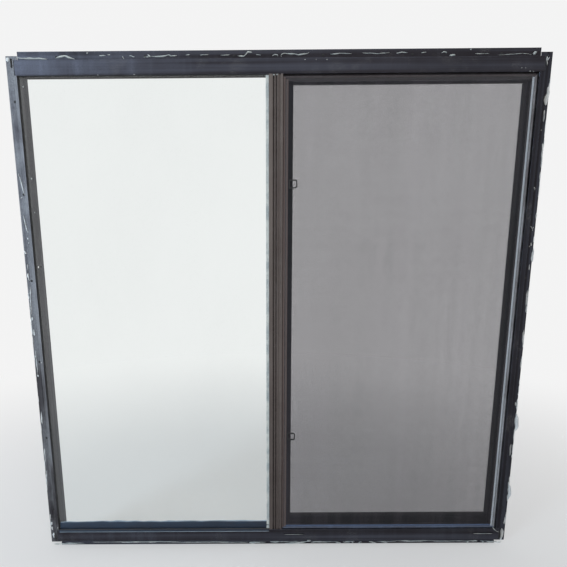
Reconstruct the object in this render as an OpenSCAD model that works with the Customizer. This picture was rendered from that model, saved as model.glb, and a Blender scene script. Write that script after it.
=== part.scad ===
// Horizontal sliding window with a nail fin, seen from outdoors: a fixed pane on the
// left, a meeting mullion, and on the right an insect screen over a sliding sash.
// X runs to the right, Y goes indoors and Z goes up. The origin is on the back face
// of the sill's fin, at the middle of its length and of its height.

/* [Frame] */
// Width of the frame box, without the fins
frame_w = 1206; // [900:1:1500]
// Height of the frame box, without the fins
frame_h = 1206; // [900:1:1500]
// Depth of the frame in front of the back of the fin
face_out = 22; // [20:0.5:30]
// Depth of the frame behind the back of the fin
rear_in = 30; // [28:0.5:40]
// Wall thickness of the frame extrusions
wall_t = 1.6; // [1.2:0.1:2]
// Height of the head's face
head_face = 32.5; // [30:0.5:40]
// Height of the sill's face
sill_face = 32.5; // [30:0.5:40]
// Width of the face of the jamb beside the fixed pane
fixed_jamb_face = 7; // [6.5:0.5:12]
// Width of the face of the jamb beside the sash
sash_jamb_face = 12; // [10:0.5:15]
// Width of the bead along the inner edge of the sash jamb's face
jamb_bead = 3.6; // [2:0.2:5]
// How far the bead stands in front of the rest of the face
bead_step = 0.8; // [0.4:0.1:1.2]
// Height of the leg of head and sill at the indoor side
rear_leg = 26; // [22:0.5:30]
// Distance from the box's edge to the pocket floors of head and sill
pocket_floor = 16.4; // [15:0.2:20]
// How far the track floor lies below the pocket floor
floor_step = 2; // [0:0.2:4]
// Thickness of the foam pads between the ends of head and sill and the jambs
pad_t = 1.4; // [0.8:0.2:3]

/* [Fin] */
// Width of the nail fin
fin_w = 24; // [18:0.5:30]
// Thickness of the nail fin
fin_t = 1.6; // [1.2:0.1:2]
// How far the jambs run on past the frame box at each end
jamb_over = 15; // [12:0.5:17]
// Diameter of the fixing holes in the fin
fix_d = 5; // [4:0.5:6]
// Number of fixing holes along each side, an even number
fix_count = 6; // [4:2:6]
// Distance between fixing holes along the jambs
fix_pitch_v = 208; // [150:1:220]
// Distance between fixing holes along head and sill
fix_pitch_h = 204; // [150:1:220]
// Length of the slots in the jambs' fins beside the four corners
slot_l = 20; // [12:0.5:24]
// Width of those slots
slot_w = 4.6; // [4:0.2:6]

/* [Mullion] */
// Width of the face of the meeting mullion
mullion_w = 32.6; // [30:0.2:40]
// Distance from the middle of the frame to the mullion's right edge
mullion_edge = 9.6; // [4:0.2:20]
// Depth of the two narrow grooves in the mullion's face
rib_d = 4; // [2:0.2:6]
// Depth of the broad groove beside the screen
step_d = 1.6; // [0.8:0.2:2]
// Thickness of the hooks with which mullion and sash interlock
hook_t = 1.2; // [1:0.1:1.6]
// Gap between the hooks
hook_gap = 1; // [0.8:0.1:1.5]

/* [Glass and gaskets] */
// Thickness of both panes
glass_t = 3; // [2:0.5:4]
// Distance from the frame's face back to the fixed pane
glass_set = 4.5; // [4:0.25:6]
// How far the lip of the gasket beside the fixed pane shows beyond the face
gasket_show = 2.2; // [1.6:0.2:5]
// How far the lips above and below the pane show
gasket_show_v = 1.6; // [1:0.2:4]
// How far the fixed pane reaches behind the jamb's face
fixed_bite = 4; // [3:0.5:4.5]
// How far it reaches behind the faces of head and sill
fixed_bite_v = 8; // [6:0.5:10]
// Length of a setting block under the fixed pane
block_l = 80; // [40:5:120]
// Width of the pale bead of sealant between the fixed pane and the mullion
sealant_w = 7; // [4:0.5:9]

/* [Sash] */
// Thickness of the sash
sash_t = 22; // [18:0.5:24]
// Width of the stile beside the jamb
lock_stile_w = 22; // [21.5:0.5:30]
// Width of the stile behind the mullion
meet_stile_w = 34; // [28:0.5:42]
// How far that stile reaches behind the mullion
meet_lap = 10; // [9:0.5:14]
// Height of the sash's top rail
top_rail_h = 30; // [27:0.5:38]
// Height of the sash's bottom rail
bottom_rail_h = 40; // [38:0.5:52]
// Height of the step in the bottom rail above its lower edge
drip_h = 24; // [18:0.5:26]
// Depth of that step
drip_d = 2; // [1:0.2:3]
// Thickness of the rails and fins of the frame that guide the sash
guide_t = 2; // [1.6:0.1:3]
// Height of the roller rail above the track floor
rail_h = 10.4; // [8:0.2:12]
// Length of the guide fin that hangs from the head
head_guide = 26; // [24:0.5:28]
// Length of the guide fin on the sash jamb
jamb_guide = 12; // [10:0.5:13]
// Width of the groove that straddles a guide
groove_w = 9; // [7:0.5:10]
// Depth of the groove in the top rail and of the notches in the stiles' ends
groove_d = 14; // [13:0.5:15]
// Depth of the groove in the lock stile
lock_groove_d = 11; // [10.5:0.25:11.5]
// Depth of the pocket that holds the sash's glass
pocket_d = 8; // [7:0.25:8.5]
// Width of that pocket
pocket_w = 9; // [7:0.5:10]
// Gap round each moving edge of the sash
run_gap = 5; // [4:0.5:7]
// Length of the bumper that stops the opened sash
bumper_l = 48.4; // [20:0.2:150]
// Width of the finger lip on the indoor side of the lock stile
pull_lip = 4; // [3:0.5:14]

/* [Rollers] */
// Diameter of a roller at the bottom of its groove
roller_d = 16; // [14:0.5:17]
// Height of the roller's flanges beside the rail
flange_h = 2; // [1:0.25:2.5]
// Width of a roller
roller_w = 6; // [5:0.5:8]
// Gap left between roller and rail
roller_gap = 0.3; // [0.2:0.05:0.5]
// Diameter of a roller's axle
axle_d = 4; // [3:0.5:5]
// Distance from the sash's side to the middle of a roller
roller_in = 90; // [60:5:140]
// Length of a roller's housing
housing_l = 44; // [30:1:60]

/* [Screen] */
// Width of the screen frame's bars
screen_bar = 10.2; // [9:0.2:14]
// Thickness of the screen frame
screen_t = 8; // [6:0.2:9]
// Width of the thin flange round the screen frame
screen_flange = 8; // [6:0.2:9]
// Gap between the screen's bar and the mullion
screen_gap_l = 2.3; // [1.6:0.1:3]
// Gap between the screen's bar and the sash jamb
screen_gap_r = 4.1; // [3:0.1:7]
// Gap between the screen's bar and the head
screen_gap_top = 5.3; // [4:0.1:7]
// Gap between the screen's bar and the sill
screen_gap_low = 2; // [1:0.1:4]
// Thickness of the woven mesh
mesh_t = 0.6; // [0.4:0.1:1]
// Diameter of the spline that holds the mesh
spline_d = 2.4; // [2:0.1:3]
// Size of a pull tab
tab_size = 20; // [16:0.5:26]
// Width and thickness of the tab's strip
tab_t = 2.6; // [2:0.2:4]
// Height of the upper tab's middle above the bottom of the frame box
tab_upper_z = 933; // [700:1:1100]
// Height of the lower tab's middle above the bottom of the frame box
tab_lower_z = 300; // [100:1:500]

/* [Openings and latch] */
// Length of a weep slot in the sill's face
weep_l = 56; // [30:1:80]
// Height of a weep slot
weep_h = 3.4; // [3:0.2:5]
// Distance from the daylight edge of mullion or jamb to the near end of its weep slot
weep_in = 6; // [2:1:40]
// Height of the keeper slots above the bottom of the frame box
keeper_z = 741; // [500:5:900]
// Length of a keeper slot
keeper_l = 26; // [16:1:28]
// Height of a keeper slot
keeper_h = 5; // [4:0.5:8]
// Height of the latch on the sash's lock stile
latch_h = 84; // [60:2:120]
// Width of the latch
latch_w = 14; // [11:0.5:14.5]
// Thickness of the latch's body
latch_t = 6; // [4:0.5:9]

/* [Hidden] */
bronze = [0.235, 0.215, 0.205];
bronze_light = [0.36, 0.33, 0.31];
rubber = [0.03, 0.03, 0.035];
pane = [0.75, 0.82, 0.82, 0.35];
sealant = [0.80, 0.79, 0.74];
pile = [0.30, 0.30, 0.32];
nylon = [0.85, 0.84, 0.80];
mesh_grey = [0.12, 0.12, 0.13, 0.6];
e = 0.01;                            // overlap of touching parts of one section

// Levels of the frame box: its bottom and top, and its two outer sides
z_bot = fin_w / 2;
z_top = z_bot + frame_h;
z_mid = (z_bot + z_top) / 2;
x_out = frame_w / 2;
x_end = x_out - wall_t - pad_t;      // ends of head and sill
track_floor = pocket_floor - floor_step;
keeper_mid = z_bot + keeper_z;
// Depths from outdoors to indoors
screen_play = 0.8;                   // gap in front of the screen
chan_d = screen_t + 2;               // clear depth of the glass and screen channel
y_face = -face_out;
y_chan = y_face + wall_t;            // front of that channel
y_div = y_chan + chan_d;             // divider leg behind the channel
y_open = y_div + wall_t;             // front of the sash's room
y_hooks = 2 * hook_t + 3 * hook_gap; // room for both hooks in front of the sash
y_sash = y_open + y_hooks + sash_t / 2;
y_glass = y_face + glass_set;        // front of the fixed pane
y_screen = y_chan + screen_play;
y_room = rear_in - wall_t;           // front of the indoor legs
// Daylight edges of the frame
fixed_edge = fixed_jamb_face - x_out;
sash_edge = x_out - sash_jamb_face;
z_head = z_top - head_face;
z_sill = z_bot + sill_face;
mullion_l = mullion_edge - mullion_w;
reveal_w = fixed_jamb_face + gasket_show;
// Edges of the closed sash and of its daylight opening
head_gap = 3 * run_gap;              // room to lift the sash off its rail
sash_l = mullion_edge - meet_lap;
sash_r = x_out - wall_t - run_gap;
sash_z0 = z_bot + track_floor + run_gap;
sash_z1 = z_top - wall_t - head_gap;
sd_l = sash_l + meet_stile_w;
sd_r = sash_r - lock_stile_w;
sd_0 = sash_z0 + bottom_rail_h;
sd_1 = sash_z1 - top_rail_h;
sash_front = y_sash - sash_t / 2;
sash_back = y_sash + sash_t / 2;
rail_top = z_bot + track_floor + rail_h;
// The screen's bars, outside edge to outside edge
screen_l = mullion_edge + screen_gap_l;
screen_r = sash_edge - screen_gap_r;
screen_z0 = z_sill + screen_gap_low;
screen_z1 = z_head - screen_gap_top;
screen_w = screen_r - screen_l;
screen_h = screen_z1 - screen_z0;
mesh_in = screen_bar / 2;            // middle of the groove for mesh and spline

// A rectangle from corner (a0, b0) to corner (a1, b1)
module rect(a0, b0, a1, b1) {
    translate([a0, b0]) square([a1 - a0, b1 - b0]);
}

// A section drawn as (Y, height) is run along X from x0 to x1
module along_x(x0, x1) {
    translate([x0, 0, 0]) rotate([90, 0, 90]) linear_extrude(height = x1 - x0) children();
}

// A section drawn as (X, Y) is run up from z0 to z1
module along_z(z0, z1) {
    translate([0, 0, z0]) linear_extrude(height = z1 - z0) children();
}

// Turns a section drawn as (distance in, Y) so that the distance runs up or down in Z
module upward() { mirror([1, -1]) children(); }
module downward() { mirror([0, 1]) mirror([1, -1]) children(); }

// A rod along Y about the middle (x, y, z)
module rod_y(x, y, z, d, len) {
    translate([x, y, z]) rotate([90, 0, 0]) cylinder(d = d, h = len, center = true, $fn = 32);
}

// An open ring inside an extrusion, into which the corner screws cut their thread
port_d = 4.2;
port_t = 1.4;
port_r = port_d / 2 + port_t;        // its outer radius
module screw_port() {
    difference() {
        circle(r = port_r, $fn = 32);
        circle(d = port_d, $fn = 24);
        rect(-port_d / 4, -port_r - e, port_d / 4, 0);
    }
}

// Fixing holes through the fin, at equal steps about the middle
module fin_holes(pitch, vertical) {
    for (i = [0 : fix_count - 1]) {
        s = (i - (fix_count - 1) / 2) * pitch;
        if (vertical) rod_y(0, 0, z_mid + s, fix_d, 4 * fin_t);
        else rod_y(s, 0, 0, fix_d, 4 * fin_t);
    }
}

// Section of the head: (Y, Z) with Z measured down from the box top as negative
module head_section() {
    rect(y_face, -wall_t, rear_in, 0);
    rect(y_face, -head_face, y_chan, 0);
    rect(y_div, -head_face, y_open, 0);
    rect(y_face, -pocket_floor, y_open, wall_t - pocket_floor);
    rect(y_sash - guide_t / 2, -head_guide, y_sash + guide_t / 2, 0);
    rect(y_room, -rear_leg, rear_in, 0);
    rect(-fin_t, -e, 0, fin_w);
    for (y = [(y_chan + y_div) / 2, y_room - port_r + port_t])
        translate([y, -wall_t - port_r + port_t / 2]) screw_port();
}

module frame_head() {
    color(bronze) difference() {
        translate([0, 0, z_top]) along_x(-x_end, x_end) head_section();
        translate([0, 0, z_top + fin_w / 2]) fin_holes(fix_pitch_h, false);
    }
}

// Section of the sill: (Y, Z) with Z measured up from the box bottom
module sill_section() {
    rect(y_face, 0, rear_in, wall_t);
    rect(y_face, 0, y_chan, sill_face);
    rect(y_div, 0, y_open, sill_face);
    rect(y_face, pocket_floor - wall_t, y_open, pocket_floor);
    rect(y_div, track_floor - wall_t, rear_in, track_floor);
    rect(y_room, 0, rear_in, rear_leg);
    rect(-fin_t, -fin_w, 0, e);
    for (y = [(y_chan + y_div) / 2, y_room - port_r + port_t])
        translate([y, wall_t + port_r - port_t / 2]) mirror([0, 1]) screw_port();
    // Roller rail with a round top
    rail_crown = track_floor + rail_h - guide_t / 2;
    rect(y_sash - guide_t / 2, track_floor - e, y_sash + guide_t / 2, rail_crown);
    translate([y_sash, rail_crown]) circle(d = guide_t, $fn = 24);
}

// Weep slot through the sill's face, level with the pocket floor
module weep_slot(x_mid) {
    span = weep_l - weep_h;
    translate([x_mid, y_face + wall_t / 2, z_bot + pocket_floor + weep_h / 2])
        rotate([90, 0, 0]) linear_extrude(height = 2 * wall_t, center = true) {
            square([span, weep_h], center = true);
            for (s = [-1, 1]) translate([s * span / 2, 0]) circle(d = weep_h, $fn = 24);
        }
}

module frame_sill() {
    color(bronze) difference() {
        translate([0, 0, z_bot]) along_x(-x_end, x_end) sill_section();
        fin_holes(fix_pitch_h, false);
        weep_slot(mullion_edge + weep_in + weep_l / 2);
        weep_slot(sash_edge - weep_in - weep_l / 2);
    }
}

// Section of the jamb beside the fixed pane: (distance in from the outer side, Y)
module fixed_jamb_section() {
    rect(0, y_face, wall_t, rear_in);
    rect(0, y_face, fixed_jamb_face, y_chan);
    rect(0, y_div, reveal_w, y_open);
    rect(reveal_w - wall_t, y_div, reveal_w, rear_in);
    rect(0, y_room, reveal_w, rear_in);
    rect(-fin_w, -fin_t, e, 0);
}

// Section of the jamb beside the sash, with a beaded face and a guide fin
module sash_jamb_section() {
    y_flat = y_face + bead_step;
    rect(0, y_flat, wall_t, rear_in);
    rect(0, y_flat, sash_jamb_face, y_chan + bead_step);
    rect(sash_jamb_face - jamb_bead, y_face, sash_jamb_face, y_chan + bead_step);
    rect(0, y_div, sash_jamb_face, y_open);
    rect(0, y_sash - guide_t / 2, jamb_guide, y_sash + guide_t / 2);
    rect(0, y_room, wall_t + run_gap, rear_in);
    rect(-fin_w, -fin_t, e, 0);
}

// Head and sill run between the jambs' webs, so the jambs' legs are coped to their
// outline there: (Y, distance in from the box's top or bottom)
module end_outline(face, floor_z, guide) {
    rect(y_face - 1, -2 * fin_w, rear_in + 1, floor_z);
    rect(y_face - 1, 0, y_open, face);
    rect(y_sash - guide_t / 2, 0, y_sash + guide_t / 2, guide);
    rect(y_room, 0, rear_in + 1, rear_leg);
    rect(y_room - 2 * port_r, 0, rear_in, wall_t + 2 * port_r);
}

module head_outline() { end_outline(head_face, wall_t, head_guide); }
module sill_outline() { end_outline(sill_face, track_floor, track_floor + rail_h); }

module jamb_cope() {
    reach = 2 * max(sash_jamb_face, reveal_w);
    translate([0, 0, z_top]) along_x(wall_t, reach) mirror([0, 1]) head_outline();
    translate([0, 0, z_bot]) along_x(wall_t, reach) sill_outline();
}

// Slot for the latch, cut through the jamb's walls along Y
module keeper_slot() {
    translate([0, y_sash, keeper_mid])
        cube([2 * reveal_w + e, keeper_l, keeper_h], center = true);
}

// Slots in the fin beside the corners, with round ends
module corner_slots() {
    span = slot_l - slot_w;
    for (z = [z_bot, z_top]) {
        translate([0, 0, z]) cube([slot_w, 4 * fin_t, span], center = true);
        for (s = [-1, 1]) rod_y(0, 0, z + s * span / 2, slot_w, 4 * fin_t);
    }
}

// Past the frame's box only the flat fin of a jamb runs on
module jamb_ends() {
    past = jamb_over + 1;
    reach = 2 * max(sash_jamb_face, reveal_w);
    for (z = [[z_bot - past, z_bot], [z_top, z_top + past]]) along_z(z[0], z[1]) {
        rect(-e, y_face - 1, reach, -fin_t);
        rect(-e, 0, reach, rear_in + 1);
    }
}

module frame_jamb() {
    difference() {
        along_z(z_bot - jamb_over, z_top + jamb_over) children();
        jamb_cope();
        jamb_ends();
        keeper_slot();
        translate([-fin_w / 2, 0, 0]) fin_holes(fix_pitch_v, true);
        translate([-fin_w / 2, 0, 0]) corner_slots();
    }
}

module frame_jamb_left() {
    color(bronze) translate([-x_out, 0, 0]) frame_jamb() fixed_jamb_section();
}

module frame_jamb_right() {
    color(bronze) translate([x_out, 0, 0]) mirror([1, 0, 0]) frame_jamb() sash_jamb_section();
}

// Foam pads that seal the four corners, cut to the outline of head and sill
module corner_pads() {
    pad_set = 0.4;                   // how far a pad stays behind the faces
    color(rubber) for (s = [0, 1]) mirror([s, 0, 0]) {
        translate([0, 0, z_top]) along_x(x_end, x_end + pad_t) {
            rect(y_face + pad_set, -head_face + pad_set, y_open, 0);
            rect(y_open - e, -wall_t, rear_in, 0);
        }
        translate([0, 0, z_bot]) along_x(x_end, x_end + pad_t) {
            rect(y_face + pad_set, 0, y_open, sill_face - pad_set);
            rect(y_open - e, 0, rear_in, track_floor);
        }
    }
}

// The mullion: a hollow bar with a ribbed face, a pocket for the fixed pane on its
// left, a pocket for the screen on its right, and a hook at its back for the sash
mullion_lip = 7;                     // depth of the two pockets
// Grooves in its face: distance of their two sides from the left edge, depth
face_grooves = [[9, 13, rib_d], [16, 18.6, rib_d], [22.8, 28.4, step_d]];
hook_len = 4;                        // length of a hook's tip
hook_x = mullion_edge - hook_t;
module mullion_section() {
    core_l = mullion_l + mullion_lip;
    core_r = mullion_edge - mullion_lip;
    difference() {
        union() {
            rect(mullion_l, y_face, mullion_edge, y_chan + step_d);
            for (g = face_grooves)
                rect(mullion_l + g[0] - wall_t, y_face, mullion_l + g[1] + wall_t,
                    y_face + g[2] + wall_t);
        }
        for (g = face_grooves)
            rect(mullion_l + g[0], y_face - e, mullion_l + g[1], y_face + g[2]);
    }
    rect(core_l, y_chan, core_l + wall_t, y_open);
    rect(core_r - wall_t, y_chan, core_r, y_open);
    rect(mullion_l, y_div, mullion_edge, y_open);
    // Hook that catches the sash's hook when it closes
    y_tip = sash_front - hook_gap;
    rect(hook_x, y_open - e, hook_x + hook_t, y_tip);
    rect(hook_x - hook_len, y_tip - hook_t, hook_x + hook_t, y_tip);
}

module meeting_mullion() {
    fit = 0.2;                       // how far the cut-backs clear the legs of head and sill
    color(bronze_light) difference() {
        along_z(z_bot + pocket_floor, z_top - pocket_floor) mullion_section();
        // Between the faces of head and sill only the core runs on
        for (z = [[z_head, z_top], [z_bot, z_sill]]) along_z(z[0], z[1]) {
            rect(mullion_l - 1, y_face - 1, mullion_edge + 1, y_chan + fit);
            rect(mullion_l - 1, y_div - fit, mullion_edge + 1, sash_back);
        }
    }
}

// The fixed pane, from its pocket in the jamb to its pocket in the mullion
pane_lap = 5;                        // how far it reaches into the mullion's pocket
glass_x0 = fixed_edge - fixed_bite;
glass_x1 = mullion_l + pane_lap;
glass_z0 = z_sill - fixed_bite_v;
glass_z1 = z_head + fixed_bite_v;
module fixed_glass() {
    color(pane) translate([glass_x0, y_glass, glass_z0])
        cube([glass_x1 - glass_x0, glass_t, glass_z1 - glass_z0]);
}

// Two blocks at the quarter points, wider than the pane
module setting_blocks() {
    span = glass_x1 - glass_x0;
    block_side = 1;                  // how far a block stands out on each side of the pane
    block_h = glass_z0 - z_bot - pocket_floor;
    for (f = [0.25, 0.75]) color(rubber)
        translate([glass_x0 + f * span - block_l / 2, y_glass - block_side, glass_z0 - block_h])
            cube([block_l, glass_t + 2 * block_side, block_h]);
}

// Gasket section: (distance from the pane's edge towards the daylight, Y). It fills
// the channel in front of and behind the pane, and its front lip slopes to the glass.
module gasket_section(bite, show) {
    edge = bite + show;
    slope = 1.6;                     // side of the square that cuts the lip's corner
    difference() {
        rect(0, y_chan, edge, y_div);
        rect(-e, y_glass, edge + e, y_glass + glass_t);
        translate([edge, y_chan]) rotate(45) square(slope, center = true);
    }
}

module glazing_gasket_left() {
    color(rubber) along_z(z_sill, z_head)
        translate([glass_x0, 0]) gasket_section(fixed_bite, gasket_show);
}

module glazing_gasket_top() {
    color(rubber) translate([0, 0, glass_z1]) along_x(fixed_edge + gasket_show, mullion_l)
        downward() gasket_section(fixed_bite_v, gasket_show_v);
}

module glazing_gasket_bottom() {
    color(rubber) translate([0, 0, glass_z0]) along_x(fixed_edge + gasket_show, mullion_l)
        upward() gasket_section(fixed_bite_v, gasket_show_v);
}

module mullion_sealant() {
    bead_t = 1;
    color(sealant) along_z(z_sill + gasket_show_v, z_head - gasket_show_v)
        rect(mullion_l - sealant_w, y_glass - bead_t, mullion_l, y_glass);
}

// Section of a sash bar: (distance from its outer edge, Y about the sash's middle).
// A groove at the outer edge straddles the guide and a pocket at the inner edge holds
// the glass, with hollow chambers between and beside them.
module bar_section(w, groove) {
    h = sash_t / 2;
    difference() {
        rect(0, -h, w, h);
        rect(-e, -groove_w / 2, groove, groove_w / 2);
        rect(w - pocket_d, -pocket_w / 2, w + e, pocket_w / 2);
        if (w - pocket_d - groove > 3 * wall_t)
            rect(groove + wall_t, wall_t - h, w - pocket_d - wall_t, h - wall_t);
        for (s = [0, 1]) mirror([0, s]) {
            rect(wall_t, groove_w / 2 + wall_t, groove, h - wall_t);
            rect(w - pocket_d, pocket_w / 2 + wall_t, w - wall_t, h - wall_t);
        }
    }
}

// Notches in a stile's ends for the head's guide and the sill's rail
module stile_notches(x0, x1) {
    for (z = [[sash_z0 - e, sash_z0 + groove_d], [sash_z1 - groove_d, sash_z1 + e]])
        along_z(z[0], z[1]) rect(x0 - e, y_sash - groove_w / 2, x1 + e, y_sash + groove_w / 2);
}

// The lock stile has a finger lip on its indoor face and an opening for the latch
module sash_lock_stile() {
    color(bronze) difference() {
        union() {
            along_z(sash_z0, sash_z1)
                translate([sash_r, y_sash]) mirror([1, 0]) bar_section(lock_stile_w, lock_groove_d);
            along_z(sd_0, sd_1) rect(sd_r, sash_back - e, sd_r + wall_t, sash_back + pull_lip);
        }
        stile_notches(sd_r, sash_r);
        translate([sash_r, y_sash, keeper_mid])
            cube([2 * (lock_groove_d + wall_t) + e, groove_w, 4 * keeper_h], center = true);
    }
}

// The meeting stile has a plain outer edge
module meeting_section() {
    h = sash_t / 2;
    difference() {
        rect(0, -h, meet_stile_w, h);
        rect(meet_stile_w - pocket_d, -pocket_w / 2, meet_stile_w + e, pocket_w / 2);
        rect(wall_t, wall_t - h, meet_stile_w - pocket_d - wall_t, h - wall_t);
        for (s = [0, 1]) mirror([0, s])
            rect(meet_stile_w - pocket_d, pocket_w / 2 + wall_t, meet_stile_w - wall_t, h - wall_t);
    }
}

// Its hook stands in front, short of the legs of head and sill
hook_z0 = z_sill + run_gap;
hook_z1 = z_head - run_gap;
module sash_meeting_stile() {
    y_hook = y_open + hook_gap;
    color(bronze) {
        difference() {
            along_z(sash_z0, sash_z1) translate([sash_l, y_sash]) meeting_section();
            stile_notches(sash_l, sd_l);
        }
        along_z(hook_z0, hook_z1) {
            rect(sash_l, y_hook, sash_l + hook_t, sash_front + e);
            rect(sash_l, y_hook, hook_x - hook_gap, y_hook + hook_t);
        }
    }
}

module sash_top_rail() {
    color(bronze) translate([0, y_sash, sash_z1])
        along_x(sd_l, sd_r) downward() bar_section(top_rail_h, groove_d);
}

// Bottom rail: an open roller chamber below and the glass pocket above
roller_room = bottom_rail_h - pocket_d - wall_t;
module bottom_rail_section() {
    h = sash_t / 2;
    w = bottom_rail_h;
    difference() {
        rect(0, -h, w, h);
        rect(-e, wall_t + drip_d - h, roller_room, h - wall_t);
        rect(-e, -h - e, drip_h, drip_d - h);
        rect(w - pocket_d, -pocket_w / 2, w + e, pocket_w / 2);
        for (s = [0, 1]) mirror([0, s])
            rect(w - pocket_d, pocket_w / 2 + wall_t, w - wall_t, h - wall_t);
    }
}

module sash_bottom_rail() {
    color(bronze) translate([0, y_sash, sash_z0])
        along_x(sd_l, sd_r) upward() bottom_rail_section();
}

pane_gap = 2;                        // gap between the pane's edge and the pocket's floor
glass_bite = pocket_d - pane_gap;
module sash_glass() {
    color(pane) translate([sd_l - glass_bite, y_sash - glass_t / 2, sd_0 - glass_bite])
        cube([sd_r - sd_l + 2 * glass_bite, glass_t, sd_1 - sd_0 + 2 * glass_bite]);
}

// Two strips, before and behind the glass, in the pocket of one sash bar
strip_show = 1.5;                    // how far they show beyond the bar
module sash_gasket_section() {
    for (s = [0, 1]) mirror([0, s]) rect(0, glass_t / 2, pocket_d + strip_show, pocket_w / 2);
}

module sash_gasket_left() {
    color(rubber) along_z(sd_0, sd_1)
        translate([sd_l - pocket_d, y_sash]) sash_gasket_section();
}

module sash_gasket_right() {
    color(rubber) along_z(sd_0, sd_1)
        translate([sd_r + pocket_d, y_sash]) mirror([1, 0]) sash_gasket_section();
}

module sash_gasket_top() {
    color(rubber) translate([0, y_sash, sd_1 + pocket_d])
        along_x(sd_l + strip_show, sd_r - strip_show) downward() sash_gasket_section();
}

module sash_gasket_bottom() {
    color(rubber) translate([0, y_sash, sd_0 - pocket_d])
        along_x(sd_l + strip_show, sd_r - strip_show) upward() sash_gasket_section();
}

// A housing of two cheeks and a top is pushed up into the bottom rail. The roller's
// axle stands between the cheeks, and the groove in its rim runs on the rail.
housing_t = 1.6;
roller_z = rail_top + roller_gap + roller_d / 2;
cheek_y0 = sash_front + wall_t + drip_d;
cheek_y1 = sash_back - wall_t;
module roller_housing(x) {
    top = sash_z0 + roller_room;
    low = roller_z - axle_d;
    translate([x - housing_l / 2, cheek_y0, top - housing_t])
        cube([housing_l, cheek_y1 - cheek_y0, housing_t]);
    for (y = [cheek_y0, cheek_y1 - housing_t])
        translate([x - housing_l / 2, y, low]) cube([housing_l, housing_t, top - low]);
}

module roller(x) {
    rim_d = roller_d + 2 * flange_h;
    side_gap = 0.5;                  // gap between the rail and the groove's sides
    rotate([90, 0, 0]) translate([x, roller_z, -y_sash]) difference() {
        cylinder(d = rim_d, h = roller_w, center = true, $fn = 48);
        difference() {
            cylinder(d = 2 * rim_d, h = guide_t + 2 * side_gap, center = true, $fn = 48);
            cylinder(d = roller_d, h = roller_w, center = true, $fn = 48);
        }
    }
    axle_y0 = cheek_y0 + housing_t;
    axle_y1 = cheek_y1 - housing_t;
    rod_y(x, (axle_y0 + axle_y1) / 2, roller_z, axle_d, axle_y1 - axle_y0);
}

module roller_housing_left() { color(nylon) roller_housing(sash_l + roller_in); }
module roller_housing_right() { color(nylon) roller_housing(sash_r - roller_in); }
module roller_left() { color(nylon) roller(sash_l + roller_in); }
module roller_right() { color(nylon) roller(sash_r - roller_in); }

// Pile strips on both walls of a groove, short of the guide by a small gap
guide_gap = 0.7;
pile_w = 5;
pile_in = 1;                         // how far they stand back from the bar's edge
pile_end = 4;                        // how far they end before the bar does
module pile_pair_section() {
    for (s = [0, 1]) mirror([0, s])
        rect(pile_in, guide_t / 2 + guide_gap, pile_in + pile_w, groove_w / 2);
}

module pile_lock() {
    color(pile) along_z(sash_z0 + groove_d + pile_end, sash_z1 - groove_d - pile_end)
        translate([sash_r, y_sash]) mirror([1, 0]) pile_pair_section();
}

module pile_top() {
    color(pile) translate([0, y_sash, sash_z1])
        along_x(sd_l + pile_end, sd_r - pile_end) downward() pile_pair_section();
}

// The meeting stile's strip stands between its own hook and the mullion's
module pile_meeting() {
    x0 = sash_l + hook_t;
    x1 = hook_x - hook_len - hook_gap;
    color(pile) along_z(hook_z0, hook_z1)
        rect(x0, sash_front - hook_gap - hook_t, x1, sash_front);
}

// The bottom rail's strip brushes the air gap on its indoor face
module pile_bottom() {
    pile_t = 2.8;
    z0 = sash_z0 + pile_end;
    color(pile) along_x(sd_l + pile_end, sd_r - pile_end)
        rect(sash_back, z0, sash_back + pile_t, z0 + pile_w);
}

// Latch on the indoor face of the lock stile: a body with round ends and a lever
latch_side = 1.5;                    // gap between the finger lip and the latch
latch_x = sd_r + wall_t + latch_side + latch_w / 2;
lever_w = 9;
lever_l = 38;
lever_t = 8;
module stadium(w, len) {
    hull() for (s = [-1, 1]) translate([0, s * (len - w) / 2]) circle(d = w, $fn = 32);
}

module sash_latch() {
    color(rubber) translate([latch_x, sash_back, keeper_mid])
        rotate([-90, 0, 0]) linear_extrude(height = latch_t) stadium(latch_w, latch_h);
}

module latch_lever() {
    color(rubber) translate([latch_x, sash_back + latch_t, keeper_mid])
        rotate([-90, 0, 0]) linear_extrude(height = lever_t) stadium(lever_w, lever_l);
}

// Block on the track floor beside the rail, at the jamb of the fixed side
module sash_bumper() {
    bumper_h = 14;
    y0 = y_sash + guide_t;
    color(rubber) translate([reveal_w - x_out, y0, z_bot + track_floor])
        cube([bumper_l, sash_back - y0, bumper_h]);
}

// Section of a screen bar: (distance in from the outer edge of the bar, Y). A groove in
// its front takes mesh and spline, a flange at its back stands in the frame's channel.
spline_fit = 0.2;                    // play of the spline in its groove
bar_wall = 1.2;                      // wall thickness of the screen's bars
bar_fall = 1.2;                      // how far a bar's outer face falls to the groove
module screen_section() {
    groove = spline_d + spline_fit;
    difference() {
        union() {
            rect(0, 0, screen_bar, screen_t);
            rect(-screen_flange, screen_t - bar_wall, e, screen_t);
        }
        rect(mesh_in - groove / 2, -e, mesh_in + groove / 2, groove);
        polygon([[0, 0], [0, -e], [mesh_in, -e], [mesh_in, bar_fall], [mesh_in - groove / 2, bar_fall]]);
        rect(bar_wall, groove + bar_wall, screen_bar - bar_wall, screen_t - bar_wall);
    }
}

// A bar whose ends are mitred about the corners of the screen's outline
module mitred(len) {
    f = screen_flange;
    b = screen_bar;
    intersection() {
        along_z(-f, len + f) children();
        rotate([90, 0, 0]) linear_extrude(height = 4 * screen_t, center = true)
            polygon([[-f, -f], [-f, len + f], [b, len - b], [b, b]]);
    }
}

module screen_left_stile() {
    color(bronze_light) translate([screen_l, y_screen, screen_z0])
        mitred(screen_h) screen_section();
}

module screen_right_stile() {
    color(bronze_light) translate([screen_r, y_screen, screen_z0]) mirror([1, 0, 0])
        mitred(screen_h) screen_section();
}

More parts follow.
